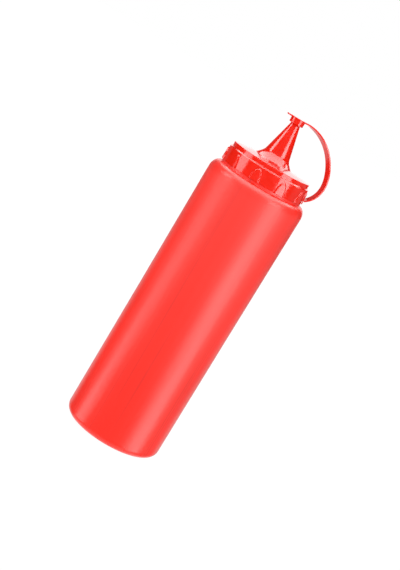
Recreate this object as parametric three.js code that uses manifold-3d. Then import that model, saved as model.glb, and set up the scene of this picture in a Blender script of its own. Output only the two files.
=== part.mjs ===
// A wide-mouthed squeeze bottle with a screw cap, a tall pouring nozzle and a tip cap on a strap.
// Millimetres, +Z up. The origin is the middle of the base, and the strap stands over +X.
import * as THREE from 'three';
import { mergeVertices } from 'three/addons/utils/BufferGeometryUtils.js';
import Module from 'manifold-3d';

const wasm = await Module();
wasm.setup();

// Bottle
const BODY_RADIUS = 35;
const SWELL_FOOT = 100;
const BODY_TOP_RADIUS = 35.45;
const BASE_ROUND = 5.8;
const SHOULDER_WIDTH = 4.85;
const SHOULDER_DROP = 7;
const SHOULDER_TOP = 200.4;
const NECK_FOOT_RADIUS = 29.6;
const NECK_FOOT_HEIGHT = 200.7;
const NECK_FOOT_TOP = 201.9;
const NECK_RADIUS = 28.2;
const FIT_GAP = 0.3;

// Screw cap
const SKIRT_BOTTOM = NECK_FOOT_TOP + FIT_GAP;
const SKIRT_BOTTOM_RADIUS = 30.2;
const SKIRT_TOP = 212.3;
const SKIRT_TOP_RADIUS = 30.05;
const SKIRT_BORE_RADIUS = NECK_RADIUS + FIT_GAP;
const SKIRT_BORE_TOP = 212;
const EDGE_BREAK = 0.3;
const RIM_BOTTOM = 213.1;
const RIM_RADIUS = 28.75;
const RIM_TOP = 216;
const DECK_RADIUS = 28.3;

// Grip lugs round the skirt
const LUG_COUNT = 10;
const LUG_BOTTOM_RADIUS = 31;
const LUG_TOP_RADIUS = 30.8;
const LUG_HALF_WIDTH = 2.85;
const LUG_CROWN_HEIGHT = 7.4;
const LUG_CROWN_FOOT = 202.6;
const LUG_SLOPE_WIDTH = 1.2;
const LUG_SLOPE_DEPTH = 0.9;
const LUG_ROOT_RADIUS = 29;
const LUG_TRIM = 2.4;

// Nozzle
const FLARE_FOOT_RADIUS = 13.6;
const FLARE_FOOT_HEIGHT = 217.3;
const FLARE_HOLLOW_RADIUS = 9.4;
const FLARE_HOLLOW_HEIGHT = 220.9;
const CONE_FOOT_RADIUS = 8.9;
const CONE_FOOT_HEIGHT = 223.1;
const CONE_TAPER = 0.25;
const NOZZLE_TOP = 248;
const NOZZLE_ROOT_HEIGHT = 214;

// Tip cap, finger tab and strap
const COLLAR_BOTTOM = 245.4;
const COLLAR_BOTTOM_RADIUS = 5;
const COLLAR_TOP_RADIUS = 5.25;
const COLLAR_BORE_TOP = NOZZLE_TOP + FIT_GAP;
const PLATE_BOTTOM = 248.8;
const PLATE_THICKNESS = 1;
const TAB_REACH = 8.6;
const STRAP_WIDTH = 6.4;
const STRAP_EDGE_BREAK = 0.3;
const STRAP_CROWN_REACH = 21.9;
const STRAP_SIDE_RADIUS = 38;
const STRAP_SIDE_HEIGHT = 218;
const STRAP_SIDE_REACH_UP = 10.2;
const STRAP_SIDE_REACH_DOWN = 6.6;
const STRAP_ROOT_RADIUS = 31.3;
const STRAP_ROOT_HEIGHT = 204.8;
const STRAP_ROOT_REACH = 4.5;
const STRAP_ROOT_RISE = THREE.MathUtils.degToRad(36);
const STRAP_TWIST = THREE.MathUtils.degToRad(19);
const STRAP_ROOT_DEPTH = 0.6;
const STRAP_SWELL = 0.6;
const STRAP_SWELL_SHARE = 0.08;

// Facets
const MERGE_DISTANCE = 1e-4;
const BODY_SIDES = 80;
const CAP_SIDES = 120;
const NOZZLE_SIDES = 48;
const STRAP_STEPS = 44;
const ARC_STEPS = 6;
const CROWN_STEPS = 14;

// A solid from a three.js geometry: shared corners merged, flat triangles at the poles dropped.
function solid(geometry) {
  geometry.deleteAttribute('normal');
  geometry.deleteAttribute('uv');
  const merged = mergeVertices(geometry.index ? geometry.toNonIndexed() : geometry, MERGE_DISTANCE);
  const corners = [];
  for (let i = 0; i < merged.index.count; i += 3) {
    const [a, b, c] = [0, 1, 2].map((k) => merged.index.getX(i + k));
    if (a !== b && b !== c && c !== a) {
      corners.push(a, b, c);
    }
  }
  const vertProperties = new Float32Array(merged.attributes.position.array);
  return new wasm.Manifold(new wasm.Mesh({ numProp: 3, vertProperties, triVerts: new Uint32Array(corners) }));
}

// A closed outline of [radius, height] pairs turned round the Z axis.
function turned(outline, sides) {
  const points = outline.map(([radius, height]) => new THREE.Vector2(radius, height));
  return solid(new THREE.LatheGeometry(points, sides).rotateX(Math.PI / 2));
}

// A quarter of an ellipse as [radius, height] pairs, from one angle to another in quarter turns.
function quarter(radius, height, width, rise, from, to) {
  return Array.from({ length: ARC_STEPS + 1 }, (_, i) => {
    const angle = (Math.PI / 2) * (from + ((to - from) * i) / ARC_STEPS);
    return [radius + width * Math.cos(angle), height + rise * Math.sin(angle)];
  });
}

function coneRadius(height) {
  return CONE_FOOT_RADIUS - CONE_TAPER * (height - CONE_FOOT_HEIGHT);
}

// The body is closed, so it is solid. It widens a little towards the shoulder, and its neck fills the cap's bore.
function bottleSolid() {
  return turned([
    [0, 0],
    ...quarter(BODY_RADIUS - BASE_ROUND, BASE_ROUND, BASE_ROUND, BASE_ROUND, -1, 0),
    [BODY_RADIUS, SWELL_FOOT],
    ...quarter(BODY_TOP_RADIUS - SHOULDER_WIDTH, SHOULDER_TOP - SHOULDER_DROP, SHOULDER_WIDTH, SHOULDER_DROP, 0, 1),
    [NECK_FOOT_RADIUS, NECK_FOOT_HEIGHT],
    [NECK_FOOT_RADIUS, NECK_FOOT_TOP],
    [NECK_RADIUS, NECK_FOOT_TOP],
    [NECK_RADIUS, SKIRT_BORE_TOP - FIT_GAP],
    [0, SKIRT_BORE_TOP - FIT_GAP],
  ], BODY_SIDES);
}

// The turned shell of the cap: skirt, ledge, rim and the low dome of its deck.
function capShell() {
  return turned([
    [0, SKIRT_BORE_TOP],
    [SKIRT_BORE_RADIUS, SKIRT_BORE_TOP],
    [SKIRT_BORE_RADIUS, SKIRT_BOTTOM],
    [SKIRT_BOTTOM_RADIUS - EDGE_BREAK, SKIRT_BOTTOM],
    [SKIRT_BOTTOM_RADIUS, SKIRT_BOTTOM + EDGE_BREAK],
    [SKIRT_TOP_RADIUS, SKIRT_TOP],
    [RIM_RADIUS, RIM_BOTTOM],
    [RIM_RADIUS, RIM_TOP - EDGE_BREAK],
    [DECK_RADIUS, RIM_TOP],
    [FLARE_FOOT_RADIUS, FLARE_FOOT_HEIGHT],
    [0, FLARE_FOOT_HEIGHT],
  ], CAP_SIDES);
}

// One lug is an arch with sloping sides, open at the skirt's bottom edge, whose face leans with its envelope.
function lugSolid(envelope, index) {
  const arch = new THREE.Shape();
  const below = SKIRT_BOTTOM - LUG_TRIM;
  arch.moveTo(LUG_HALF_WIDTH, below);
  arch.absellipse(0, LUG_CROWN_FOOT, LUG_HALF_WIDTH, LUG_CROWN_HEIGHT - EDGE_BREAK, 0, Math.PI);
  arch.lineTo(-LUG_HALF_WIDTH, below);
  const geometry = new THREE.ExtrudeGeometry(arch, {
    depth: LUG_BOTTOM_RADIUS - LUG_ROOT_RADIUS - 2 * LUG_SLOPE_DEPTH,
    bevelThickness: LUG_SLOPE_DEPTH,
    bevelSize: LUG_SLOPE_WIDTH,
    bevelSegments: 1,
    curveSegments: CROWN_STEPS,
  });
  const [across, up, outward] = [new THREE.Vector3(0, 1, 0), new THREE.Vector3(0, 0, 1), new THREE.Vector3(1, 0, 0)];
  geometry.applyMatrix4(new THREE.Matrix4().makeBasis(across, up, outward));
  geometry.translate(LUG_ROOT_RADIUS + LUG_SLOPE_DEPTH, 0, 0);
  geometry.rotateZ((2 * Math.PI * index) / LUG_COUNT);
  return solid(geometry).intersect(envelope);
}

function lugEnvelope() {
  const top = LUG_CROWN_FOOT + LUG_CROWN_HEIGHT + LUG_TRIM;
  return turned([
    [0, SKIRT_BOTTOM],
    [LUG_BOTTOM_RADIUS - EDGE_BREAK, SKIRT_BOTTOM],
    [LUG_BOTTOM_RADIUS, SKIRT_BOTTOM + EDGE_BREAK],
    [LUG_TOP_RADIUS, top],
    [0, top],
  ], CAP_SIDES);
}

// The nozzle starts inside the deck, flares out of it and tapers straight to its tip.
function nozzleSolid() {
  const flare = new THREE.QuadraticBezierCurve(
    new THREE.Vector2(FLARE_FOOT_RADIUS, FLARE_FOOT_HEIGHT),
    new THREE.Vector2(FLARE_HOLLOW_RADIUS, FLARE_HOLLOW_HEIGHT),
    new THREE.Vector2(CONE_FOOT_RADIUS, CONE_FOOT_HEIGHT),
  );
  return turned([
    [0, NOZZLE_ROOT_HEIGHT],
    [FLARE_FOOT_RADIUS, NOZZLE_ROOT_HEIGHT],
    ...flare.getPoints(ARC_STEPS).map((point) => [point.x, point.y]),
    [coneRadius(NOZZLE_TOP), NOZZLE_TOP],
    [0, NOZZLE_TOP],
  ], NOZZLE_SIDES);
}

function screwCapSolid() {
  const envelope = lugEnvelope();
  let cap = capShell().add(nozzleSolid());
  for (let index = 0; index < LUG_COUNT; index += 1) {
    cap = cap.add(lugSolid(envelope, index));
  }
  return cap;
}

// The collar that plugs the nozzle's tip, with the bore that the tip fills.
function collarSolid() {
  return turned([
    [0, COLLAR_BORE_TOP],
    [coneRadius(COLLAR_BORE_TOP) + FIT_GAP, COLLAR_BORE_TOP],
    [coneRadius(COLLAR_BOTTOM) + FIT_GAP, COLLAR_BOTTOM],
    [COLLAR_BOTTOM_RADIUS - EDGE_BREAK, COLLAR_BOTTOM],
    [COLLAR_BOTTOM_RADIUS, COLLAR_BOTTOM + EDGE_BREAK],
    [COLLAR_TOP_RADIUS, PLATE_BOTTOM],
    [COLLAR_TOP_RADIUS, PLATE_BOTTOM + PLATE_THICKNESS],
    [0, PLATE_BOTTOM + PLATE_THICKNESS],
  ], NOZZLE_SIDES);
}

// The finger tab: a flat tongue with a round end, over -X.
function tabSolid() {
  const half = STRAP_WIDTH / 2;
  const tongue = new THREE.Shape();
  tongue.moveTo(0, -half);
  tongue.lineTo(0, half);
  tongue.lineTo(half - TAB_REACH, half);
  tongue.absarc(half - TAB_REACH, 0, half, Math.PI / 2, (3 * Math.PI) / 2);
  const options = { depth: PLATE_THICKNESS, bevelEnabled: false, curveSegments: CROWN_STEPS };
  return solid(new THREE.ExtrudeGeometry(tongue, options).translate(0, 0, PLATE_BOTTOM));
}

// The strap's middle line in the XZ plane: out from the tip, over the side, and back in to the skirt.
function strapLine() {
  const height = PLATE_BOTTOM + PLATE_THICKNESS / 2;
  const line = new THREE.Path();
  line.moveTo(0, height);
  line.lineTo(COLLAR_TOP_RADIUS, height);
  line.bezierCurveTo(
    COLLAR_TOP_RADIUS + STRAP_CROWN_REACH, height,
    STRAP_SIDE_RADIUS, STRAP_SIDE_HEIGHT + STRAP_SIDE_REACH_UP,
    STRAP_SIDE_RADIUS, STRAP_SIDE_HEIGHT,
  );
  const [lean, rise] = [Math.cos(STRAP_ROOT_RISE), Math.sin(STRAP_ROOT_RISE)];
  line.bezierCurveTo(
    STRAP_SIDE_RADIUS, STRAP_SIDE_HEIGHT - STRAP_SIDE_REACH_DOWN,
    STRAP_ROOT_RADIUS + STRAP_ROOT_REACH * lean, STRAP_ROOT_HEIGHT + STRAP_ROOT_REACH * rise,
    STRAP_ROOT_RADIUS, STRAP_ROOT_HEIGHT,
  );
  line.lineTo(STRAP_ROOT_RADIUS - STRAP_ROOT_DEPTH * lean, STRAP_ROOT_HEIGHT - STRAP_ROOT_DEPTH * rise);
  return line;
}

// A straight flat bar is bent along the line. It turns a little on its way and comes back flat at both ends.
function strapSolid() {
  const line = strapLine();
  const bar = new THREE.Shape();
  const [half, side] = [STRAP_WIDTH / 2, PLATE_THICKNESS / 2];
  const edge = STRAP_EDGE_BREAK;
  bar.moveTo(-half + edge, -side);
  bar.lineTo(half - edge, -side);
  bar.lineTo(half, -side + edge);
  bar.lineTo(half, side - edge);
  bar.lineTo(half - edge, side);
  bar.lineTo(-half + edge, side);
  bar.lineTo(-half, side - edge);
  bar.lineTo(-half, -side + edge);
  const geometry = new THREE.ExtrudeGeometry(bar, { depth: 1, steps: STRAP_STEPS, bevelEnabled: false });
  const place = geometry.attributes.position;
  for (let i = 0; i < place.count; i += 1) {
    const share = Math.min(1, Math.max(0, place.getZ(i)));
    const centre = line.getPointAt(share);
    const along = line.getTangentAt(share);
    const turn = STRAP_TWIST * Math.sin(Math.PI * share);
    const swell = 1 + STRAP_SWELL * Math.max(0, 1 - (1 - share) / STRAP_SWELL_SHARE) ** 2;
    const across = place.getX(i);
    const out = place.getY(i) * swell;
    const sideways = across * Math.cos(turn) + out * Math.sin(turn);
    const outward = out * Math.cos(turn) - across * Math.sin(turn);
    place.setXYZ(i, centre.x - along.y * outward, sideways, centre.y + along.x * outward);
  }
  return solid(geometry);
}

// The tip cap, its tab and its strap are one moulding. The root stops short of the lug that it meets.
function tipCapSolid() {
  const clear = LUG_BOTTOM_RADIUS + FIT_GAP;
  const lugRoom = turned([
    [0, SKIRT_BOTTOM - FIT_GAP],
    [clear, SKIRT_BOTTOM - FIT_GAP],
    [clear, SKIRT_TOP],
    [0, SKIRT_TOP],
  ], CAP_SIDES);
  return collarSolid().add(tabSolid()).add(strapSolid()).subtract(lugRoom);
}

function mesh(name, shape, look) {
  const result = shape.getMesh();
  const geometry = new THREE.BufferGeometry();
  geometry.setAttribute('position', new THREE.BufferAttribute(result.vertProperties, result.numProp));
  geometry.setIndex(new THREE.BufferAttribute(result.triVerts, 1));
  geometry.computeVertexNormals();
  const piece = new THREE.Mesh(geometry, new THREE.MeshStandardMaterial(look));
  piece.name = name;
  return piece;
}

const SATIN_RED = { color: 0xff4a3e, roughness: 0.45, metalness: 0 };
const GLOSS_RED = { color: 0xf5281a, roughness: 0.18, metalness: 0 };

const bottle = new THREE.Group();
bottle.add(mesh('bottle', bottleSolid(), SATIN_RED));
bottle.add(mesh('screw_cap', screwCapSolid(), GLOSS_RED));
bottle.add(mesh('tip_cap_strap', tipCapSolid(), GLOSS_RED));

export default bottle;
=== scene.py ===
"""A red squeeze bottle with a screw cap, a pouring nozzle and a tip cap on a strap, around its solids."""

import math

import bmesh
import bpy
from mathutils import Matrix, Quaternion, Vector


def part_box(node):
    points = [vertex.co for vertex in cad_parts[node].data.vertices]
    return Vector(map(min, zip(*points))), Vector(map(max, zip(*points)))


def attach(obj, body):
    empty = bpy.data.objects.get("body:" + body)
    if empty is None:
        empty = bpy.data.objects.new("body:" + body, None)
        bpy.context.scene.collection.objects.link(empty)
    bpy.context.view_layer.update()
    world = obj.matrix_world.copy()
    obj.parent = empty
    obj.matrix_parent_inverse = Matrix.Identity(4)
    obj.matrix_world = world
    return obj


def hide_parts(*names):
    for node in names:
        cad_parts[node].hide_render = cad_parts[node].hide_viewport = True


bl_info = {
    "name": "Squeeze Bottle",
    "version": (1, 0, 0),
    "blender": (4, 5, 0),
    "location": "3D View > Sidebar > Squeeze Bottle",
    "description": "Builds a red squeeze bottle with its cap, nozzle and strap, and the studio round it",
    "category": "Object",
}

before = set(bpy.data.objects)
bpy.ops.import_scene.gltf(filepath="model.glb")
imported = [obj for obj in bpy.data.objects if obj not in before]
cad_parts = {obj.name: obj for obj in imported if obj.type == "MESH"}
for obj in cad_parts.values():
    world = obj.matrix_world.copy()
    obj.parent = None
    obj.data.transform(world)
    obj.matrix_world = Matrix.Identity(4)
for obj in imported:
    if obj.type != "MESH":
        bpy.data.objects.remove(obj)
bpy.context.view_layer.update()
BOTTLE_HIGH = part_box("bottle")[1]
CAP_LOW, CAP_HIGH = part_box("screw_cap")
STRAP_LOW, STRAP_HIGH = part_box("tip_cap_strap")

MM = 0.001
MERGE_DISTANCE = 0.002 * MM
SHARP_ANGLE = math.radians(38)
FULL_TURN = 2 * math.pi

# Bottle, in metres, up from the surface that it stands on
SWELL_FOOT = 100 * MM
SHOULDER_TOP = 200.4 * MM
NECK_FOOT_RADIUS = 29.95 * MM
NECK_FOOT_TOP = 202.15 * MM
NECK_RADIUS = 28.2 * MM
NECK_TOP = BOTTLE_HIGH.z
STANDING_RING_INSIDE = 25.5 * MM
BOTTLE_SIDES = 240
SEAM_TURN = math.radians(-8.8)
SEAM_DEPTH = 0.08 * MM
SEAM_HALF_WIDTH = 0.2 * MM

# Screw cap
SKIRT_BOTTOM = CAP_LOW.z
SKIRT_TOP = 212.3 * MM
SKIRT_BORE_RADIUS = 28.5 * MM
SKIRT_BORE_TOP = 212 * MM
RIM_BOTTOM = 213.1 * MM
RIM_TOP = 216 * MM
DECK_FOOT_HEIGHT = 217.3 * MM
SKIRT_ROW = 0.2 * MM
SKIRT_EDGE = 0.15 * MM
LUG_ZONE_STEPS = 42
PLAIN_ZONE_STEPS = 6
LUG_BOTTOM_RADIUS = 31 * MM
LUG_TOP_RADIUS = 30.75 * MM
LUG_CROWN_FOOT = 202.6 * MM

# Nozzle
FLARE_FOOT_RADIUS = 13.6 * MM
CONE_FOOT_RADIUS = 8.9 * MM
CONE_FOOT_HEIGHT = 223.1 * MM
CONE_TAPER = 0.25
NOZZLE_TOP = CAP_HIGH.z

# Tip cap and strap
PLATE_TOP = STRAP_HIGH.z - 0.24 * MM
COLLAR_BOTTOM = 245.4 * MM
COLLAR_BOTTOM_RADIUS = 5 * MM
COLLAR_TOP_RADIUS = 5.25 * MM
COLLAR_SIDES = 72
COLLAR_BORE_DEPTH = 2.4 * MM
COLLAR_PLAY = 0.2 * MM
COLLAR_OVERLAP = 0.2 * MM
TAB_REACH = -STRAP_LOW.x
STRAP_STEPS = 96
TWIST_SPREAD = 0.55
STRAP_CROWN_REACH = 21.9 * MM
STRAP_SIDE_REACH_UP = 10.2 * MM
STRAP_SIDE_REACH_DOWN = 6.6 * MM
STRAP_ROOT_RADIUS = 30.9 * MM
STRAP_ROOT_HEIGHT = 204.6 * MM
STRAP_ROOT_REACH = 4.5 * MM
STRAP_ROOT_RISE = math.radians(36)

# Studio: the heights that lights span, and their distances
BESIDE_BOTTLE = (-0.15, 0.36)
BELOW_BOTTLE = (-0.9, -0.15)
ABOVE_BOTTLE = (0.5, 1.0)
STRIP_DISTANCE = 1.2
BACKDROP_DISTANCE = 1.5
OVERHEAD_HEIGHT = 1.25
OVERHEAD_BACK = 0.2
FRONT_DISTANCE = 1.4
BOUNCE_DEPTH = 0.4
WATTS_PER_RADIANCE = 4
FLOOR_REACH = 6
FLOOR_DROP = 0.2 * MM
CAMERA_AIM = Vector((0.7 * MM, -0.1 * MM, 120.4 * MM))
SENSOR_WIDTH = 36


def linear(value):
    """One sRGB channel from 0 to 1, as linear light."""
    return value / 12.92 if value <= 0.04045 else ((value + 0.055) / 1.055) ** 2.4


def colour(code):
    """A linear colour from an sRGB hex value."""
    return tuple(linear(int(code[i : i + 2], 16) / 255) for i in (0, 2, 4))


class BottleSettings(bpy.types.PropertyGroup):
    """Sizes and colour of the bottle."""

    body_radius: bpy.props.FloatProperty(
        name="Body radius",
        description="Radius of the round body from its base to the swell",
        default=35.2 * MM,
        unit="LENGTH",
    )
    body_top_radius: bpy.props.FloatProperty(
        name="Body top radius",
        description="Radius of the body under the shoulder, where it has widened a little",
        default=BOTTLE_HIGH.x,
        unit="LENGTH",
    )
    base_round: bpy.props.FloatProperty(
        name="Base round",
        description="Radius of the rounded bottom edge",
        default=5.8 * MM,
        unit="LENGTH",
    )
    push_up: bpy.props.FloatProperty(
        name="Push-up",
        description="How far the middle of the base is pushed up",
        default=1.6 * MM,
        unit="LENGTH",
    )
    shoulder_width: bpy.props.FloatProperty(
        name="Shoulder width",
        description="How far the rounded shoulder reaches in from the body's wall",
        default=4.85 * MM,
        unit="LENGTH",
    )
    shoulder_drop: bpy.props.FloatProperty(
        name="Shoulder drop",
        description="Height of the rounded shoulder",
        default=7 * MM,
        unit="LENGTH",
    )
    colour: bpy.props.FloatVectorProperty(
        name="Colour",
        description="Colour of the blow-moulded plastic",
        default=colour("E82010"),
        subtype="COLOR",
        min=0,
        max=1,
    )


class CapSettings(bpy.types.PropertyGroup):
    """Sizes and colour of the screw cap and its nozzle."""

    skirt_radius: bpy.props.FloatProperty(
        name="Skirt radius",
        description="Radius of the skirt at its bottom edge, between the lugs",
        default=30.2 * MM,
        unit="LENGTH",
    )
    skirt_top_radius: bpy.props.FloatProperty(
        name="Skirt top radius",
        description="Radius of the skirt under its ledge",
        default=30.05 * MM,
        unit="LENGTH",
    )
    rim_radius: bpy.props.FloatProperty(
        name="Rim radius",
        description="Radius of the rim that stands on the ledge",
        default=28.75 * MM,
        unit="LENGTH",
    )
    lug_count: bpy.props.IntProperty(
        name="Grip lugs",
        description="How many arched lugs stand round the skirt",
        default=10,
        min=1,
    )
    lug_width: bpy.props.FloatProperty(
        name="Lug width",
        description="Width of a lug's face at its foot",
        default=5.8 * MM,
        unit="LENGTH",
    )
    lug_height: bpy.props.FloatProperty(
        name="Lug height",
        description="Height of a lug's crown over its straight foot",
        default=7.5 * MM,
        unit="LENGTH",
    )
    lug_slope: bpy.props.FloatProperty(
        name="Lug slope",
        description="Width of the sloping side round a lug's face",
        default=0.9 * MM,
        unit="LENGTH",
    )
    colour: bpy.props.FloatVectorProperty(
        name="Colour",
        description="Colour of the injection-moulded plastic",
        default=colour("D81B08"),
        subtype="COLOR",
        min=0,
        max=1,
    )


class StrapSettings(bpy.types.PropertyGroup):
    """Sizes of the tip cap and its strap."""

    width: bpy.props.FloatProperty(
        name="Strap width",
        description="Width of the strap and of the finger tab",
        default=6.4 * MM,
        unit="LENGTH",
    )
    thickness: bpy.props.FloatProperty(
        name="Strap thickness",
        description="Thickness of the strap, the plate and the tab",
        default=1 * MM,
        unit="LENGTH",
    )
    edge_round: bpy.props.FloatProperty(
        name="Edge round",
        description="Radius of the rounded long edges",
        default=0.12 * MM,
        unit="LENGTH",
    )
    side_radius: bpy.props.FloatProperty(
        name="Loop reach",
        description="How far the strap's loop stands out from the bottle's axis",
        default=37.8 * MM,
        unit="LENGTH",
    )
    side_height: bpy.props.FloatProperty(
        name="Loop side height",
        description="Height of the point where the loop stands out furthest",
        default=218 * MM,
        unit="LENGTH",
    )
    twist: bpy.props.FloatProperty(
        name="Twist",
        description="How far the strap turns about its own line halfway round the loop",
        default=math.radians(19),
        subtype="ANGLE",
    )


class StudioSettings(bpy.types.PropertyGroup):
    """The camera and the lights."""

    camera_azimuth: bpy.props.FloatProperty(
        name="Camera azimuth",
        description="Where the camera stands round the bottle, from the strap's side",
        default=math.radians(-98.84),
        subtype="ANGLE",
    )
    camera_elevation: bpy.props.FloatProperty(
        name="Camera elevation",
        description="How far the camera looks down",
        default=math.radians(10.51),
        subtype="ANGLE",
    )
    camera_roll: bpy.props.FloatProperty(
        name="Camera roll",
        description="How far the camera leans, so that the bottle leans to the right",
        default=math.radians(31.11),
        subtype="ANGLE",
    )
    camera_distance: bpy.props.FloatProperty(
        name="Camera distance",
        description="Distance from the camera to the point that it looks at",
        default=0.8958,
        unit="LENGTH",
    )
    lens: bpy.props.FloatProperty(
        name="Focal length",
        description="Focal length in millimetres for a 36 mm sensor",
        default=83.9,
        unit="CAMERA",
    )
    left_radiance: bpy.props.FloatProperty(
        name="Left strips",
        description="Brightness of the strip lights on the left, seen only in reflections",
        default=3.8,
    )
    right_radiance: bpy.props.FloatProperty(
        name="Right strips",
        description="Brightness of the strip lights on the right, seen only in reflections",
        default=5.2,
    )
    overhead_radiance: bpy.props.FloatProperty(
        name="Overhead light",
        description="Brightness of the overhead light, seen only in reflections",
        default=4.6,
    )
    backdrop_radiance: bpy.props.FloatProperty(
        name="Backdrop",
        description="Brightness of the white backdrop in reflections",
        default=1.0,
    )
    front_radiance: bpy.props.FloatProperty(
        name="Front light",
        description="Brightness of the large light over the camera, which is not seen in reflections",
        default=0.9,
    )
    ambient: bpy.props.FloatProperty(
        name="Ambient light",
        description="Brightness of the light that comes from all round",
        default=1.15,
    )


def add_node(tree, kind, settings=None, links=None):
    """Adds a node, sets its properties and sockets, and links other nodes' outputs to its sockets."""
    node = tree.nodes.new(kind)
    for key, value in (settings or {}).items():
        if isinstance(key, str) and hasattr(node, key):
            setattr(node, key, value)
        else:
            node.inputs[key].default_value = value
    for key, source in (links or {}).items():
        tree.links.new(source, node.inputs[key])
    return node


def new_material(name, base, settings):
    """A Principled material with constant settings, its node tree and its shader."""
    material = bpy.data.materials.new(name)
    material.use_nodes = True
    tree = material.node_tree
    shader = tree.nodes["Principled BSDF"]
    shader.inputs["Base Color"].default_value = (*base, 1)
    for socket, value in settings.items():
        shader.inputs[socket].default_value = value
    return material, tree, shader


def blow_moulded_ldpe(settings):
    """Blow-moulded low-density polyethylene: a satin skin with faint upright drag lines from the die."""
    material, tree, shader = new_material(
        "blow_moulded_ldpe",
        settings.colour,
        {"IOR": 1.51, "Specular IOR Level": 0.4},
    )
    place = add_node(tree, "ShaderNodeTexCoord").outputs["Object"]
    height = add_node(tree, "ShaderNodeSeparateXYZ", links={"Vector": place}).outputs["Z"]
    # Drag lines are some 3 mm apart round the body and run its whole height
    upright = add_node(
        tree,
        "ShaderNodeMapping",
        {"Scale": (1 / (3 * MM), 1 / (3 * MM), 1 / (400 * MM))},
        {"Vector": place},
    )
    lines = add_node(
        tree,
        "ShaderNodeTexNoise",
        {"Scale": 0.8, "Detail": 3.0, "Roughness": 0.6},
        {"Vector": upright.outputs["Vector"]},
    ).outputs["Fac"]
    # The strongest lines show as thin darker streaks, which end above the rounded bottom edge
    on_wall = {"From Min": settings.base_round / 2, "From Max": settings.base_round}
    wall = add_node(tree, "ShaderNodeMapRange", on_wall, {"Value": height})
    streaks = add_node(
        tree,
        "ShaderNodeMapRange",
        {"From Min": 0.54, "From Max": 0.62, "To Min": 0, "To Max": -0.15},
        {"Value": lines},
    )
    # The wall's thickness changes slowly, over some 40 mm, and its colour with it
    cloud = add_node(
        tree,
        "ShaderNodeTexNoise",
        {"Scale": 1 / (40 * MM), "Detail": 2.0},
        {"Vector": place},
    )
    thickness = add_node(
        tree,
        "ShaderNodeMapRange",
        {"From Min": 0.2, "From Max": 0.8, "To Min": 0.93, "To Max": 1.07},
        {"Value": cloud.outputs["Fac"]},
    )
    brightness = add_node(
        tree,
        "ShaderNodeMath",
        {"operation": "MULTIPLY_ADD"},
        {0: wall.outputs["Result"], 1: streaks.outputs["Result"], 2: thickness.outputs["Result"]},
    )
    base = shader.inputs["Base Color"]
    shaded = add_node(
        tree,
        "ShaderNodeVectorMath",
        {"operation": "SCALE", 0: base.default_value[:3]},
        {"Scale": brightness.outputs["Value"]},
    )
    tree.links.new(shaded.outputs["Vector"], base)
    # The skin is more matt towards the top of the wall, and smoother over the rounded shoulder
    matt = add_node(
        tree,
        "ShaderNodeMapRange",
        {"From Min": 0, "From Max": 190 * MM, "To Min": 0.29, "To Max": 0.41},
        {"Value": height},
    )
    uneven = add_node(
        tree,
        "ShaderNodeMapRange",
        {"From Min": 0.3, "From Max": 0.7, "To Min": -0.03, "To Max": 0.03},
        {"Value": lines},
    )
    smoother = add_node(
        tree,
        "ShaderNodeMapRange",
        {"From Min": 192 * MM, "From Max": 196 * MM, "To Min": 0, "To Max": -0.08},
        {"Value": height},
    )
    satin = add_node(
        tree,
        "ShaderNodeMath",
        {"operation": "ADD"},
        {0: matt.outputs["Result"], 1: uneven.outputs["Result"]},
    )
    roughness = add_node(
        tree,
        "ShaderNodeMath",
        {"operation": "ADD"},
        {0: satin.outputs["Value"], 1: smoother.outputs["Result"]},
    )
    tree.links.new(roughness.outputs["Value"], shader.inputs["Roughness"])
    # The lines' relief ends above the rounded bottom edge too
    relief = add_node(tree, "ShaderNodeMapRange", {**on_wall, "To Max": 0.4}, {"Value": height})
    bump = add_node(
        tree,
        "ShaderNodeBump",
        {"Distance": 0.2 * MM},
        {"Height": lines, "Strength": relief.outputs["Result"]},
    )
    tree.links.new(bump.outputs["Normal"], shader.inputs["Normal"])
    return material


def moulded_pp(name, settings):
    """Injection-moulded polypropylene: a glossy skin that the mould has left very slightly uneven."""
    material, tree, shader = new_material(name, settings.colour, {"IOR": 1.52})
    place = add_node(tree, "ShaderNodeTexCoord").outputs["Object"]
    # Flow marks and sink marks are some 5 mm across
    flow = add_node(
        tree,
        "ShaderNodeTexNoise",
        {"Scale": 1 / (5 * MM), "Detail": 2.0},
        {"Vector": place},
    ).outputs["Fac"]
    brightness = add_node(
        tree,
        "ShaderNodeMapRange",
        {"From Min": 0.2, "From Max": 0.8, "To Min": 0.94, "To Max": 1.06},
        {"Value": flow},
    )
    base = shader.inputs["Base Color"]
    shaded = add_node(
        tree,
        "ShaderNodeVectorMath",
        {"operation": "SCALE", 0: base.default_value[:3]},
        {"Scale": brightness.outputs["Result"]},
    )
    tree.links.new(shaded.outputs["Vector"], base)
    roughness = add_node(
        tree,
        "ShaderNodeMapRange",
        {"From Min": 0.3, "From Max": 0.7, "To Min": 0.12, "To Max": 0.17},
        {"Value": flow},
    )
    tree.links.new(roughness.outputs["Result"], shader.inputs["Roughness"])
    bump = add_node(
        tree,
        "ShaderNodeBump",
        {"Strength": 0.2, "Distance": 0.02 * MM},
        {"Height": flow},
    )
    tree.links.new(bump.outputs["Normal"], shader.inputs["Normal"])
    return material


def arc(centre, radii, start, end, steps):
    """Points on an arc of an ellipse. Centre and radii are (across, up), and start and end are in degrees."""
    angles = [math.radians(start + (end - start) * i / steps) for i in range(steps + 1)]
    return [(centre[0] + radii[0] * math.cos(a), centre[1] + radii[1] * math.sin(a)) for a in angles]


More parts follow.
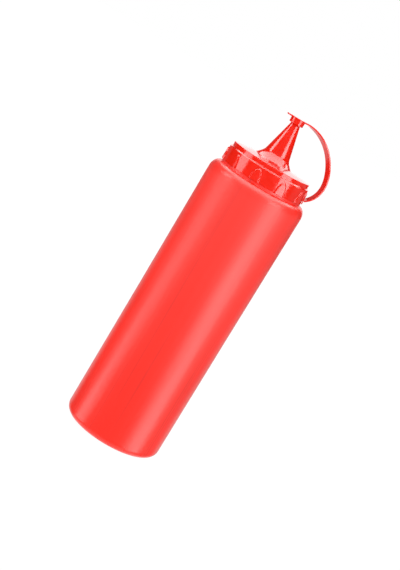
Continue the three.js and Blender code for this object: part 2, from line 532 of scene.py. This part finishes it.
def filleted(corners, steps=5):
    """An outline of (across, up, fillet radius) corners, with each corner rounded by its radius."""
    points = []
    for index, (across, up, radius) in enumerate(corners):
        corner = Vector((across, up))
        if radius == 0 or index in (0, len(corners) - 1):
            points.append(tuple(corner))
            continue
        before = (Vector(corners[index - 1][:2]) - corner).normalized()
        after = (Vector(corners[index + 1][:2]) - corner).normalized()
        half = before.angle(after) / 2
        reach = radius / math.tan(half)
        start, end = corner + before * reach, corner + after * reach
        middle = corner + (before + after).normalized() * (radius / math.sin(half))
        first, last = start - middle, end - middle
        sweep = first.angle_signed(last)
        for step in range(steps + 1):
            turn = Matrix.Rotation(-sweep * step / steps, 2)
            points.append(tuple(middle + turn @ first))
    return points


def bezier(start, first, second, end, steps):
    """Points on a cubic Bezier curve from its four control points."""
    points = []
    for index in range(steps + 1):
        t = index / steps
        weights = ((1 - t) ** 3, 3 * t * (1 - t) ** 2, 3 * t * t * (1 - t), t**3)
        controls = (start, first, second, end)
        points.append(tuple(sum(w * c[k] for w, c in zip(weights, controls)) for k in range(2)))
    return points


def outline_edges(outline, turn):
    """A bmesh that holds an outline of (radius, height) pairs as edges, turned round the Z axis."""
    bm = bmesh.new()
    verts = [bm.verts.new((radius, 0, height)) for radius, height in outline]
    for low, high in zip(verts, verts[1:]):
        bm.edges.new((low, high))
    bmesh.ops.rotate(bm, cent=(0, 0, 0), matrix=Matrix.Rotation(turn, 3, "Z"), verts=bm.verts)
    return bm


def cleaned(bm):
    """Merges a spun shape's seam and poles, and points its faces outwards."""
    bmesh.ops.remove_doubles(bm, verts=bm.verts, dist=MERGE_DISTANCE)
    bmesh.ops.recalc_face_normals(bm, faces=bm.faces)
    return bm


def spun(outline, steps, turn=0.0):
    """A bmesh of an outline spun once round the Z axis."""
    bm = outline_edges(outline, turn)
    bmesh.ops.spin(
        bm,
        geom=bm.verts[:] + bm.edges[:],
        cent=(0, 0, 0),
        axis=(0, 0, 1),
        angle=FULL_TURN,
        steps=steps,
        use_merge=True,
    )
    return cleaned(bm)


def finished_piece(bm, name, material, node):
    """Makes a bmesh into a smooth piece that rides on the bottle and stands for a solid."""
    mesh = bpy.data.meshes.new(name)
    bm.to_mesh(mesh)
    bm.free()
    mesh.shade_smooth()
    mesh.set_sharp_from_angle(angle=SHARP_ANGLE)
    mesh.materials.append(material)
    piece = bpy.data.objects.new(name, mesh)
    bpy.context.scene.collection.objects.link(piece)
    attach(piece, "root")
    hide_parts(node)
    return piece


def base_outline(settings):
    """The base from its middle out to the wall: a shallow push-up, the standing ring and the rounded edge."""
    flat = settings.body_radius - settings.base_round
    steps = 10
    hollow = [
        (
            STANDING_RING_INSIDE * i / steps,
            settings.push_up * (1 - (i / steps) ** 2) ** 2,
        )
        for i in range(steps)
    ]
    round_edge = arc((flat, settings.base_round), (settings.base_round,) * 2, -90, 0, 14)
    return [*hollow, (STANDING_RING_INSIDE, 0), *round_edge, (settings.body_radius, SWELL_FOOT)]


def shoulder_outline(settings):
    """The rounded shoulder, the short step up to the neck, and the neck inside the cap."""
    inner = settings.body_top_radius - settings.shoulder_width
    shoulder = arc(
        (inner, SHOULDER_TOP - settings.shoulder_drop),
        (settings.shoulder_width, settings.shoulder_drop),
        0,
        90,
        18,
    )
    neck = filleted(
        [
            (inner - 0.3 * MM, SHOULDER_TOP + 0.05 * MM, 0),
            (NECK_FOOT_RADIUS, SHOULDER_TOP + 0.1 * MM, 0.35 * MM),
            (NECK_FOOT_RADIUS, NECK_FOOT_TOP, 0.2 * MM),
            (NECK_RADIUS, NECK_FOOT_TOP, 0.1 * MM),
            (NECK_RADIUS, NECK_TOP, 0),
            (0, NECK_TOP, 0),
        ]
    )
    return [*shoulder, *neck]


def sink_parting_lines(bm, settings):
    """Sinks the column of points where the two halves of the mould met, on both sides of the body."""
    low, high = settings.base_round / 3, SHOULDER_TOP - settings.shoulder_drop / 2
    for vert in bm.verts:
        angle = math.atan2(vert.co.y, vert.co.x) - SEAM_TURN
        across = abs(math.remainder(angle, math.pi)) * settings.body_radius
        if across < SEAM_HALF_WIDTH and low < vert.co.z < high:
            outward = Vector((vert.co.x, vert.co.y, 0)).normalized()
            vert.co -= outward * SEAM_DEPTH


class SQUEEZE_OT_bottle(bpy.types.Operator):
    """Make the blow-moulded bottle, whose neck is hidden by the cap"""

    bl_idname = "squeeze.bottle"
    bl_label = "Bottle"

    def execute(self, context):
        settings = context.scene.squeeze_bottle
        outline = [*base_outline(settings), *shoulder_outline(settings)]
        bm = spun(outline, BOTTLE_SIDES, SEAM_TURN)
        sink_parting_lines(bm, settings)
        finished_piece(bm, "bottle_body", blow_moulded_ldpe(settings), "bottle")
        return {"FINISHED"}


def cone_radius(height):
    """The nozzle's radius at a height on its straight cone."""
    return CONE_FOOT_RADIUS - CONE_TAPER * (height - CONE_FOOT_HEIGHT)


def cap_outline(settings):
    """The screw cap's outline: down the bore, up the skirt, over the deck and up the nozzle to its tip."""
    rows = round((SKIRT_TOP - SKIRT_BOTTOM) / SKIRT_ROW)
    lean = settings.skirt_top_radius - settings.skirt_radius
    edge = filleted(
        [
            (0, SKIRT_BORE_TOP, 0),
            (SKIRT_BORE_RADIUS, SKIRT_BORE_TOP, 0),
            (SKIRT_BORE_RADIUS, SKIRT_BOTTOM, SKIRT_EDGE),
            (settings.skirt_radius, SKIRT_BOTTOM, SKIRT_EDGE),
            (settings.skirt_radius, SKIRT_BOTTOM + 2 * SKIRT_EDGE, 0),
        ]
    )
    # The rows are close together, so that the lugs' arches come out smooth
    wall = [
        (settings.skirt_radius + lean * row / rows, SKIRT_BOTTOM + SKIRT_ROW * row)
        for row in range(3, rows - 1)
    ]
    rim = filleted(
        [
            (settings.skirt_top_radius, SKIRT_TOP - 0.6 * MM, 0),
            (settings.skirt_top_radius, SKIRT_TOP, 0.3 * MM),
            (settings.rim_radius, RIM_BOTTOM, 0.25 * MM),
            (settings.rim_radius, RIM_TOP, 0.3 * MM),
            (FLARE_FOOT_RADIUS, DECK_FOOT_HEIGHT, 0),
        ]
    )
    # Rings close to the deck's edges keep its shading flat
    deck_edge, flare_foot = Vector(rim[-2]), Vector(rim[-1])
    rim[-1:-1] = [tuple(deck_edge.lerp(flare_foot, share)) for share in (0.04, 0.5, 0.96)]
    flare = bezier(
        (FLARE_FOOT_RADIUS, DECK_FOOT_HEIGHT),
        (10.9 * MM, 219.6 * MM),
        (9.3 * MM, 221.4 * MM),
        (CONE_FOOT_RADIUS, CONE_FOOT_HEIGHT),
        14,
    )
    tip = filleted(
        [
            (CONE_FOOT_RADIUS, CONE_FOOT_HEIGHT, 0),
            (cone_radius(NOZZLE_TOP), NOZZLE_TOP, 0.2 * MM),
            (0, NOZZLE_TOP, 0),
        ]
    )
    return [*edge, *wall, *rim, *flare[1:-1], *tip]


def soft_ramp(value):
    """A straight ramp from 0 to 1 with slightly softened ends."""
    value = min(1, max(0, value))
    return 0.65 * value + 0.35 * value * value * (3 - 2 * value)


def lug_share(across, up, settings):
    """The share of a lug's height at a point of the unrolled skirt, across and up from the crown's foot."""
    half = settings.lug_width / 2
    # A lug is a straight band up to its crown's foot, and half an ellipse above it
    if up <= 0:
        outside = abs(across) - half
    else:
        spread = math.hypot(across / half, up / settings.lug_height)
        outside = math.hypot(across, up) * (1 - 1 / spread) if spread > 0 else -half
    return soft_ramp(1 - outside / settings.lug_slope)


def raise_lugs(bm, settings):
    """Lifts the arched grip lugs out of the skirt's wall."""
    pitch = FULL_TURN / settings.lug_count
    for vert in bm.verts:
        radius = math.hypot(vert.co.x, vert.co.y)
        inside = radius < settings.rim_radius + 0.2 * MM
        if inside or vert.co.z > SKIRT_TOP - 0.1 * MM:
            continue
        angle = math.remainder(math.atan2(vert.co.y, vert.co.x), pitch)
        up = vert.co.z - LUG_CROWN_FOOT
        share = lug_share(angle * LUG_BOTTOM_RADIUS, up, settings)
        if share == 0:
            continue
        height = (vert.co.z - SKIRT_BOTTOM) / (SKIRT_TOP - SKIRT_BOTTOM)
        face = LUG_BOTTOM_RADIUS + (LUG_TOP_RADIUS - LUG_BOTTOM_RADIUS) * height
        wall = settings.skirt_radius + (settings.skirt_top_radius - settings.skirt_radius) * height
        lift = share * (face - wall) * (radius - SKIRT_BORE_RADIUS) / (wall - SKIRT_BORE_RADIUS)
        vert.co.x *= 1 + lift / radius
        vert.co.y *= 1 + lift / radius


def spun_by_lugs(outline, settings):
    """Spins an outline in short steps across each lug and long ones between them."""
    pitch = FULL_TURN / settings.lug_count
    zone = (settings.lug_width + 2 * settings.lug_slope + 0.4 * MM) / LUG_BOTTOM_RADIUS
    bm = outline_edges(outline, -zone / 2)
    last = bm.verts[:] + bm.edges[:]
    for _ in range(settings.lug_count):
        for angle, steps in ((zone, LUG_ZONE_STEPS), (pitch - zone, PLAIN_ZONE_STEPS)):
            result = bmesh.ops.spin(
                bm,
                geom=last,
                cent=(0, 0, 0),
                axis=(0, 0, 1),
                angle=angle,
                steps=steps,
                use_merge=False,
            )
            last = result["geom_last"]
    return cleaned(bm)


class SQUEEZE_OT_screw_cap(bpy.types.Operator):
    """Make the screw cap with its grip lugs, rim, deck and pouring nozzle"""

    bl_idname = "squeeze.screw_cap"
    bl_label = "Screw cap"

    def execute(self, context):
        settings = context.scene.squeeze_cap
        bm = spun_by_lugs(cap_outline(settings), settings)
        raise_lugs(bm, settings)
        material = moulded_pp("moulded_pp_cap", settings)
        finished_piece(bm, "screw_cap_moulding", material, "screw_cap")
        return {"FINISHED"}


def strap_line(settings):
    """The strap's middle line as (out, up) points, from the plate's edge round the loop to the skirt."""
    height = PLATE_TOP - settings.thickness / 2
    side, side_height = settings.side_radius, settings.side_height
    upper = bezier(
        (COLLAR_TOP_RADIUS, height),
        (COLLAR_TOP_RADIUS + STRAP_CROWN_REACH, height),
        (side, side_height + STRAP_SIDE_REACH_UP),
        (side, side_height),
        120,
    )
    lower = bezier(
        (side, side_height),
        (side, side_height - STRAP_SIDE_REACH_DOWN),
        (
            STRAP_ROOT_RADIUS + STRAP_ROOT_REACH * math.cos(STRAP_ROOT_RISE),
            STRAP_ROOT_HEIGHT + STRAP_ROOT_REACH * math.sin(STRAP_ROOT_RISE),
        ),
        (STRAP_ROOT_RADIUS, STRAP_ROOT_HEIGHT),
        60,
    )
    return [Vector(point) for point in upper + lower[1:]]


def line_place(line, lengths, distance):
    """The point and the unit direction of a line at a distance along it."""
    index = 1
    while index < len(lengths) - 1 and lengths[index] < distance:
        index += 1
    start, end = line[index - 1], line[index]
    share = (distance - lengths[index - 1]) / (lengths[index] - lengths[index - 1])
    return start.lerp(end, share), (end - start).normalized()


def plate_outline(settings):
    """The flat head from above: a round plate, with the finger tab towards -X and open towards the strap."""
    half = settings.width / 2
    meet = math.degrees(math.asin(half / COLLAR_TOP_RADIUS))
    lower = arc((0, 0), (COLLAR_TOP_RADIUS,) * 2, -meet, meet - 180, 20)
    tab = arc((half - TAB_REACH, 0), (half, half), -90, -270, 20)
    upper = arc((0, 0), (COLLAR_TOP_RADIUS,) * 2, 180 - meet, meet, 20)
    return [*lower, *tab, *upper]


def flat_moulding(settings, length):
    """The plate, tab and straight strap as one flat bar with rounded edges, before the strap is bent."""
    bm = bmesh.new()
    verts = [bm.verts.new((x, y, 0)) for x, y in plate_outline(settings)]
    bm.faces.new(verts)
    end = bm.edges.get((verts[0], verts[-1]))
    start = verts[0].co.x
    for _ in range(STRAP_STEPS):
        result = bmesh.ops.extrude_edge_only(bm, edges=[end])
        moved = [item for item in result["geom"] if isinstance(item, bmesh.types.BMVert)]
        step = (COLLAR_TOP_RADIUS + length - start) / STRAP_STEPS
        bmesh.ops.translate(bm, verts=moved, vec=(step, 0, 0))
        end = bm.edges.get(moved)
    bmesh.ops.recalc_face_normals(bm, faces=bm.faces)
    result = bmesh.ops.extrude_face_region(bm, geom=bm.faces[:])
    top = [item for item in result["geom"] if isinstance(item, bmesh.types.BMVert)]
    bmesh.ops.translate(bm, verts=top, vec=(0, 0, settings.thickness))
    bmesh.ops.recalc_face_normals(bm, faces=bm.faces)
    rims = []
    for edge in bm.edges:
        square = abs(edge.calc_face_angle(0) - math.pi / 2) < 0.1
        level = abs(edge.verts[0].co.z - edge.verts[1].co.z) < settings.thickness / 2
        if square and level:
            rims.append(edge)
    bmesh.ops.bevel(
        bm,
        geom=rims,
        offset=settings.edge_round,
        segments=3,
        profile=0.5,
        affect="EDGES",
        material=-1,
    )
    return bm


def bend_strap(bm, settings, line, lengths):
    """Bends the flat strap along its line. It turns a little on its way and comes back level at both ends."""
    middle = settings.thickness / 2
    for vert in bm.verts:
        distance = vert.co.x - COLLAR_TOP_RADIUS
        outward = vert.co.z - middle
        across = vert.co.y
        if distance <= 0:
            vert.co.z = PLATE_TOP - middle + outward
            continue
        point, along = line_place(line, lengths, distance)
        share = distance / lengths[-1]
        turn = settings.twist * math.sin(math.pi * min(1, share)) ** TWIST_SPREAD
        sideways = across * math.cos(turn) + outward * math.sin(turn)
        out = outward * math.cos(turn) - across * math.sin(turn)
        vert.co = (point.x - along.y * out, sideways, point.y + along.x * out)


def collar_outline(settings):
    """The collar over the nozzle's tip: down its bore, and up its wall into the plate."""
    bore_top = COLLAR_BOTTOM + COLLAR_BORE_DEPTH
    collar_top = PLATE_TOP - settings.thickness + COLLAR_OVERLAP
    return filleted(
        [
            (0, bore_top, 0),
            (cone_radius(bore_top) + COLLAR_PLAY, bore_top, 0),
            (cone_radius(COLLAR_BOTTOM) + COLLAR_PLAY, COLLAR_BOTTOM, 0.1 * MM),
            (COLLAR_BOTTOM_RADIUS, COLLAR_BOTTOM, 0.3 * MM),
            (COLLAR_TOP_RADIUS - 0.15 * MM, collar_top, 0),
            (0, collar_top, 0),
        ]
    )


class SQUEEZE_OT_tip_cap(bpy.types.Operator):
    """Make the tip cap: the plate, its tab and strap, and the collar under the plate"""

    bl_idname = "squeeze.tip_cap"
    bl_label = "Tip cap and strap"

    def execute(self, context):
        settings = context.scene.squeeze_strap
        line = strap_line(settings)
        lengths = [0.0]
        for start, end in zip(line, line[1:]):
            lengths.append(lengths[-1] + (end - start).length)
        bm = flat_moulding(settings, lengths[-1])
        bend_strap(bm, settings, line, lengths)
        bmesh.ops.recalc_face_normals(bm, faces=bm.faces)
        material = moulded_pp("moulded_pp_strap", context.scene.squeeze_cap)
        strap = finished_piece(bm, "tip_cap_and_strap", material, "tip_cap_strap")
        weighted = strap.modifiers.new("Weighted normals", "WEIGHTED_NORMAL")
        weighted.keep_sharp = True
        collar = spun(collar_outline(settings), COLLAR_SIDES)
        finished_piece(collar, "tip_cap_collar", material, "tip_cap_strap")
        return {"FINISHED"}


def studio_direction(settings, azimuth, elevation):
    """A unit direction from the bottle: azimuth from the camera's side, positive to the right, in degrees."""
    turn = settings.camera_azimuth + math.radians(azimuth)
    rise = math.radians(elevation)
    return Vector((math.cos(turn) * math.cos(rise), math.sin(turn) * math.cos(rise), math.sin(rise)))


def soft_light(name, place, target, size, radiance, reflected=True, diffused=True):
    """A rectangular area light that faces a point and is hidden from the camera."""
    data = bpy.data.lights.new(name, "AREA")
    data.shape = "RECTANGLE"
    data.size, data.size_y = size
    data.energy = radiance * size[0] * size[1] * WATTS_PER_RADIANCE
    light = bpy.data.objects.new(name, data)
    light.location = place
    light.rotation_mode = "QUATERNION"
    light.rotation_quaternion = (target - place).to_track_quat("-Z", "Y")
    light.visible_camera = False
    light.visible_glossy = reflected
    light.visible_diffuse = diffused
    bpy.context.scene.collection.objects.link(light)
    return light


def upright_light(name, settings, azimuth, spread, heights, radiance, distance=STRIP_DISTANCE, lean=0):
    """An upright light, seen only in reflections, that spans a range of azimuth and height. It can lean."""
    low, high = heights
    middle = (low + high) / 2
    place = studio_direction(settings, azimuth, 0) * distance + Vector((0, 0, middle))
    width = 2 * distance * math.tan(math.radians(spread))
    light = soft_light(name, place, Vector((0, 0, middle)), (width, high - low), radiance, diffused=False)
    light.rotation_quaternion @= Quaternion((0, 0, 1), math.radians(lean))


def make_world(settings):
    """White to the camera, a little even light for the diffuse surfaces, and dark in reflections."""
    world = bpy.data.worlds.new("studio")
    bpy.context.scene.world = world
    world.use_nodes = True
    tree = world.node_tree
    backdrop = tree.nodes["Background"]
    backdrop.inputs["Color"].default_value = (1, 1, 1, 1)
    path = add_node(tree, "ShaderNodeLightPath").outputs
    strength = add_node(
        tree,
        "ShaderNodeMath",
        {"operation": "MULTIPLY_ADD", 1: settings.ambient},
        {0: path["Is Diffuse Ray"], 2: path["Is Camera Ray"]},
    )
    tree.links.new(strength.outputs["Value"], backdrop.inputs["Strength"])


def make_floor():
    """A plain white floor that only the camera sees, so that it throws nothing back at the bottle."""
    bm = bmesh.new()
    bmesh.ops.create_grid(bm, x_segments=1, y_segments=1, size=FLOOR_REACH)
    bmesh.ops.translate(bm, verts=bm.verts, vec=(0, 0, -FLOOR_DROP))
    mesh = bpy.data.meshes.new("floor")
    bm.to_mesh(mesh)
    bm.free()
    floor = bpy.data.objects.new("floor", mesh)
    bpy.context.scene.collection.objects.link(floor)
    material, tree, shader = new_material(
        "matt_white_card",
        colour("3F3F3F"),
        {
            "Roughness": 0.9,
            "Specular IOR Level": 0,
            "Emission Color": (1, 1, 1, 1),
            "Emission Strength": 0.98,
        },
    )
    # Its underside is clear, so that the base can be seen from below
    clear = add_node(tree, "ShaderNodeBsdfTransparent")
    facing = add_node(tree, "ShaderNodeNewGeometry")
    mixed = add_node(
        tree,
        "ShaderNodeMixShader",
        links={0: facing.outputs["Backfacing"], 1: shader.outputs["BSDF"], 2: clear.outputs["BSDF"]},
    )
    tree.links.new(mixed.outputs["Shader"], tree.nodes["Material Output"].inputs["Surface"])
    mesh.materials.append(material)
    floor.visible_glossy = False
    floor.visible_diffuse = False
    floor.visible_transmission = False
    floor.visible_shadow = False


def make_camera(settings):
    """The camera at the photograph's place. The bottle leans to the right because the camera is rolled."""
    data = bpy.data.cameras.new("camera")
    data.lens = settings.lens
    data.sensor_width = SENSOR_WIDTH
    camera = bpy.data.objects.new("camera", data)
    back = studio_direction(settings, 0, math.degrees(settings.camera_elevation))
    camera.location = CAMERA_AIM + back * settings.camera_distance
    camera.rotation_mode = "QUATERNION"
    roll = Quaternion((0, 0, 1), settings.camera_roll)
    camera.rotation_quaternion = (-back).to_track_quat("-Z", "Y") @ roll
    bpy.context.scene.collection.objects.link(camera)
    bpy.context.scene.camera = camera


class SQUEEZE_OT_studio(bpy.types.Operator):
    """Make the floor, the lights and the camera"""

    bl_idname = "squeeze.studio"
    bl_label = "Studio"

    def execute(self, context):
        settings = context.scene.squeeze_studio
        left, right = settings.left_radiance, settings.right_radiance
        backdrop = settings.backdrop_radiance
        behind = studio_direction(settings, 180, 0)
        make_world(settings)
        make_floor()
        # The two pale bands up the body. Below and above the bottle, each is carried on by a light of its own
        upright_light("strip_left", settings, -68, 13, BESIDE_BOTTLE, left)
        upright_light("strip_left_foot", settings, -82, 12, BELOW_BOTTLE, left * 0.85, lean=-38)
        upright_light("strip_left_high", settings, -75, 13, ABOVE_BOTTLE, left * 1.8)
        upright_light("strip_right", settings, 54, 16, BESIDE_BOTTLE, right)
        upright_light("strip_right_foot", settings, 68, 15, BELOW_BOTTLE, right * 0.85, lean=38)
        upright_light("strip_right_high", settings, 55, 16, ABOVE_BOTTLE, right * 1.25)
        # Weak light between the strips and the backdrop, for the body's edges
        upright_light("fill_right", settings, 112, 26, (-0.9, 0.36), right * 0.045)
        upright_light("fill_left", settings, -142, 13, (-0.1, 0.7), left * 0.04)
        # The white backdrop, which shows in the deck, the strap and the body's very edges
        upright_light("backdrop", settings, 180, 20, (-0.1, 0.75), backdrop * 1.25, BACKDROP_DISTANCE)
        upright_light("backdrop_low", settings, 180, 42, (-1.4, -0.1), backdrop * 0.65, BACKDROP_DISTANCE)
        # The overhead light's target is set slightly off its own axis, so that its sides face the camera
        soft_light(
            "overhead",
            behind * OVERHEAD_BACK + Vector((0, 0, OVERHEAD_HEIGHT)),
            behind * (OVERHEAD_BACK + 1 * MM),
            (2.1, 2.2),
            settings.overhead_radiance,
            diffused=False,
        )
        soft_light(
            "floor_bounce",
            Vector((0, 0, -BOUNCE_DEPTH)),
            Vector((0, 0.1 * MM, 0)),
            (0.8, 0.8),
            backdrop,
            diffused=False,
        )
        # The light over the camera gives the diffuse colour alone
        soft_light(
            "front",
            studio_direction(settings, 0, 28) * FRONT_DISTANCE,
            Vector((0, 0, 0.12)),
            (2, 1.4),
            settings.front_radiance,
            reflected=False,
        )
        make_camera(settings)
        context.scene.view_settings.view_transform = "Standard"
        context.scene.view_settings.look = "None"
        return {"FINISHED"}


class SQUEEZE_PT_panel(bpy.types.Panel):
    """Lists the pieces of the bottle"""

    bl_idname = "SQUEEZE_PT_panel"
    bl_label = "Squeeze Bottle"
    bl_space_type = "VIEW_3D"
    bl_region_type = "UI"
    bl_category = "Squeeze Bottle"

    def draw(self, context):
        for operator in OPERATORS:
            self.layout.operator(operator.bl_idname)


SETTINGS = {
    "squeeze_bottle": BottleSettings,
    "squeeze_cap": CapSettings,
    "squeeze_strap": StrapSettings,
    "squeeze_studio": StudioSettings,
}
OPERATORS = (SQUEEZE_OT_bottle, SQUEEZE_OT_screw_cap, SQUEEZE_OT_tip_cap, SQUEEZE_OT_studio)
CLASSES = (*SETTINGS.values(), *OPERATORS, SQUEEZE_PT_panel)


def register():
    """Registers the classes and puts the settings on the scene."""
    for item in CLASSES:
        bpy.utils.register_class(item)
    for name, group in SETTINGS.items():
        setattr(bpy.types.Scene, name, bpy.props.PointerProperty(type=group))


def unregister():
    """Takes the settings off the scene and unregisters the classes."""
    for name in SETTINGS:
        delattr(bpy.types.Scene, name)
    for item in reversed(CLASSES):
        bpy.utils.unregister_class(item)


def main():
    """Makes the bottle, its caps and the studio."""
    register()
    bpy.ops.squeeze.bottle()
    bpy.ops.squeeze.screw_cap()
    bpy.ops.squeeze.tip_cap()
    bpy.ops.squeeze.studio()


if __name__ == "__main__":
    main()
